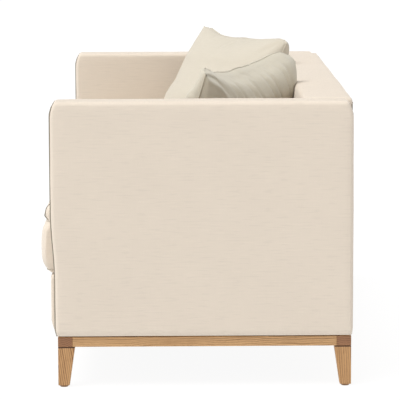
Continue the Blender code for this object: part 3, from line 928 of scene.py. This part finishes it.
def pillow_trim(points, border, grid, matrix, material, side, sx):
    """Piping round the pillow and a thin dark cord on either side of it, painted shade for the grooves beside
    the piping.

    They lie open along the sides and sink into the crest of a pillow that is bent over.
    """
    body = f"pillow_{side}"
    u, v, face = grid[border].T
    sunk = np.zeros(len(border))
    if TOP_LEAN[side]:
        sunk = smoothstep(v, 0.97, 1.0) * (1 - smoothstep(sx * u, 0.86, 0.97))
    loop = [matrix @ Vector(points[i]) for i in border]
    cord = PIPING_RADIUS * (1 - 0.45 * sunk)
    tube(f"pillow_piping_{side}", loop, cord, material, body, closed=True)
    across = matrix.to_3x3() @ Vector((0, 1, 0))
    thread = SEAM_SHADE_RADIUS * (1 - 0.6 * sunk)
    # Painted shade: the two dark cords stand for the shadow in the grooves on either side of the piping.
    for label, way in (("front", -1), ("back", 1)):
        shade_path = []
        for i, shown in zip(border, 1 - sunk):
            inset = Vector(points[i] * (1 - 0.012 * shown, 1, 1 - 0.016 * shown))
            shade_path.append(matrix @ inset + across * way * SEAM_SHADE_OFFSET * shown)
        tube(f"pillow_seam_shade_{label}_{side}", shade_path, thread, seam_shade, body, closed=True)


def build_pillow(side, sx):
    """A scatter pillow blown up as cloth, then leant into its corner, filled and piped."""
    low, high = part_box(f"pillow_cover_{side}")
    body = f"pillow_{side}"
    turn = Euler((-PILLOW_LEAN, 0, -sx * PILLOW_TURN))
    points, faces, border, grid = pillow_panels(PILLOW_CELLS, PILLOW_WIDTH, PILLOW_HEIGHT, 0.128, 0.05)
    material = linen(f"linen_pillow_{side}", PILLOW_LINEN[side], turn=tuple(turn), slub=0.5)
    pillow = finish_mesh(f"pillow_upholstery_{side}", points, faces, material, body)
    inflate(pillow, 0.012, stiffness=12.0)
    points = vertices_of(pillow)
    extent = points.max(0) - points.min(0)
    points -= (points.max(0) + points.min(0)) / 2
    points *= np.array((PILLOW_WIDTH, PILLOW_THICK, PILLOW_HEIGHT)) / extent
    points = pillow_form(points, grid, side, sx)

    matrix = turn.to_matrix().to_4x4()
    matrix.translation = (low + high) / 2
    set_vertices(pillow, [matrix @ Vector(point) for point in points])
    subdivide(pillow)
    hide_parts(f"pillow_cover_{side}")
    inside = [matrix @ Vector(point) for point in points * (0.93, 0.62, 0.91)]
    insert = finish_mesh(f"pillow_filling_{side}", inside, faces, wadding_fibres, body)
    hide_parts(f"pillow_insert_{side}")
    pillow_trim(points, border, grid, matrix, material, side, sx)


# ---------------------------------------------------------------- carried-over CAD nodes


def node_object(name):
    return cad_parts[name]


def give(name, material):
    obj = node_object(name)
    for slot in obj.material_slots:
        slot.material = material


def dress_frame():
    """Materials for the CAD nodes that stay: oak, inner timber, foam, webbing and metal."""
    rails = {
        "plinth_front_rail": (0, (-0.372, 0.050)),
        "plinth_back_rail": (0, (0.398, 0.056)),
        "plinth_left_rail": (1, (-0.885, 0.048)),
        "plinth_right_rail": (1, (0.880, 0.052)),
    }
    for name, (grain, pith) in rails.items():
        give(name, wood(f"oak_{name}", grain, pith, OAK, contrast=1.15))
    for end, sy in ENDS:
        for side, sx in SIDES:
            low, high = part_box(f"leg_{end}_{side}")
            pith = ((low.x + high.x) / 2 - sx * 0.05, (low.y + high.y) / 2 - sy * 0.16)
            contrast, slope = (1.5, 0.14) if end == "front" else (1.15, 0.05)
            # Each leg's top gets a thin line of painted shadow where it meets the rail.
            extra = dict(contrast=contrast, slope=slope, joint_shadow_top=high.z)
            oak = wood(f"oak_leg_{end}_{side}", 2, pith, LEG_OAK, ring=0.0052, **extra)
            give(f"leg_{end}_{side}", oak)
    strap = webbing()
    spring = steel("spring_wire", srgb(122, 124, 128), 0.42)
    zinc = steel("zinc_plate", srgb(190, 192, 194), 0.36)
    plastic, sheet = glide_plastic(), dust_cloth()
    pine = [wood(f"pine_{axis}", grain, (0.35, 0.9), PINE, 0.006, 0.6) for grain, axis in enumerate("xyz")]
    along = {"back_top": 0, "back_bottom": 0, "seat_front": 0, "seat_back": 0, "seat_centre": 1}
    for name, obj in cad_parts.items():
        kind = name.rsplit("_", 1)[0]
        if name.startswith("seat_spring"):
            give(name, spring)
        elif name.startswith("leg_bolt"):
            give(name, zinc)
        elif name.startswith("glide"):
            give(name, plastic)
        elif name.startswith("back_strap"):
            give(name, strap)
        elif name == "dust_cover":
            give(name, sheet)
        elif name == "seat_deck" or name.startswith("pillow_insert"):
            give(name, wadding_fibres)
        elif "foam" in name or "core" in name:
            give(name, foam_cells)
        elif "post" in name:
            give(name, pine[2])
        elif name.startswith("arm_") and "rail" in name:
            give(name, pine[1])
        elif kind in along:
            give(name, pine[along[kind]])


# ---------------------------------------------------------------- stage, light and camera


def build_stage():
    mesh = bpy.data.meshes.new("floor")
    corners = [(x * FLOOR_HALF, y * FLOOR_HALF, 0) for x, y in ((-1, -1), (1, -1), (1, 1), (-1, 1))]
    mesh.from_pydata(corners, [], [(0, 1, 2, 3)])
    floor = bpy.data.objects.new("floor", mesh)
    bpy.context.scene.collection.objects.link(floor)
    s = Shader("pale_floor", roughness=0.9, Emission_Strength=FLOOR_GLOW)
    s.bsdf.inputs["Base Color"].default_value = (0.10, 0.10, 0.10, 1)
    s.bsdf.inputs["Emission Color"].default_value = (1, 1, 1, 1)
    s.bsdf.inputs["Specular IOR Level"].default_value = 0.0
    mesh.materials.append(s.material)


def build_light():
    """A bright, even studio: a pale surround and one very wide key from the front right, high up."""
    world = bpy.data.worlds.new("studio")
    bpy.context.scene.world = world
    world.use_nodes = True
    background = world.node_tree.nodes["Background"]
    background.inputs["Color"].default_value = (1.0, 1.0, 1.0, 1)
    links, nodes = world.node_tree.links, world.node_tree.nodes
    height = nodes.new("ShaderNodeSeparateXYZ")
    links.new(nodes.new("ShaderNodeTexCoord").outputs["Generated"], height.inputs[0])
    fade = nodes.new("ShaderNodeMapRange")
    fade.interpolation_type = "SMOOTHSTEP"
    links.new(height.outputs["Z"], fade.inputs["Value"])
    for name, number in (("From Min", 0.02), ("From Max", 0.30), ("To Min", 1.0), ("To Max", 0.46)):
        fade.inputs[name].default_value = number
    links.new(fade.outputs["Result"], background.inputs["Strength"])
    key = bpy.data.lights.new("key", "SUN")
    key.energy = KEY_ENERGY
    key.angle = KEY_WIDTH
    key.color = (1.0, 0.995, 0.985)
    obj = bpy.data.objects.new("key", key)
    obj.rotation_euler = KEY_DIRECTION.to_track_quat("Z", "Y").to_euler()
    bpy.context.scene.collection.objects.link(obj)


def build_camera():
    """The photo's view: a long lens, almost level, along the sofa's length."""
    camera = bpy.data.cameras.new("camera")
    camera.sensor_width = 36.0
    camera.lens = CAMERA_LENS
    camera.clip_end = 200.0
    obj = bpy.data.objects.new("camera", camera)
    bpy.context.scene.collection.objects.link(obj)
    yaw = Matrix.Rotation(CAMERA_YAW, 4, "Z")
    pitch = Matrix.Rotation(math.pi / 2 + CAMERA_PITCH, 4, "X")
    roll = Matrix.Rotation(CAMERA_ROLL, 4, "Z")
    obj.matrix_world = Matrix.Translation(CAMERA_PLACE) @ yaw @ pitch @ roll
    bpy.context.scene.camera = obj


build_arms()
build_back()
build_apron()
for side_name, side_sign in SIDES:
    build_cushion(side_name, side_sign)
    build_pillow(side_name, side_sign)
dress_frame()
build_stage()
build_light()
build_camera()
bpy.context.scene.view_settings.view_transform = "Standard"
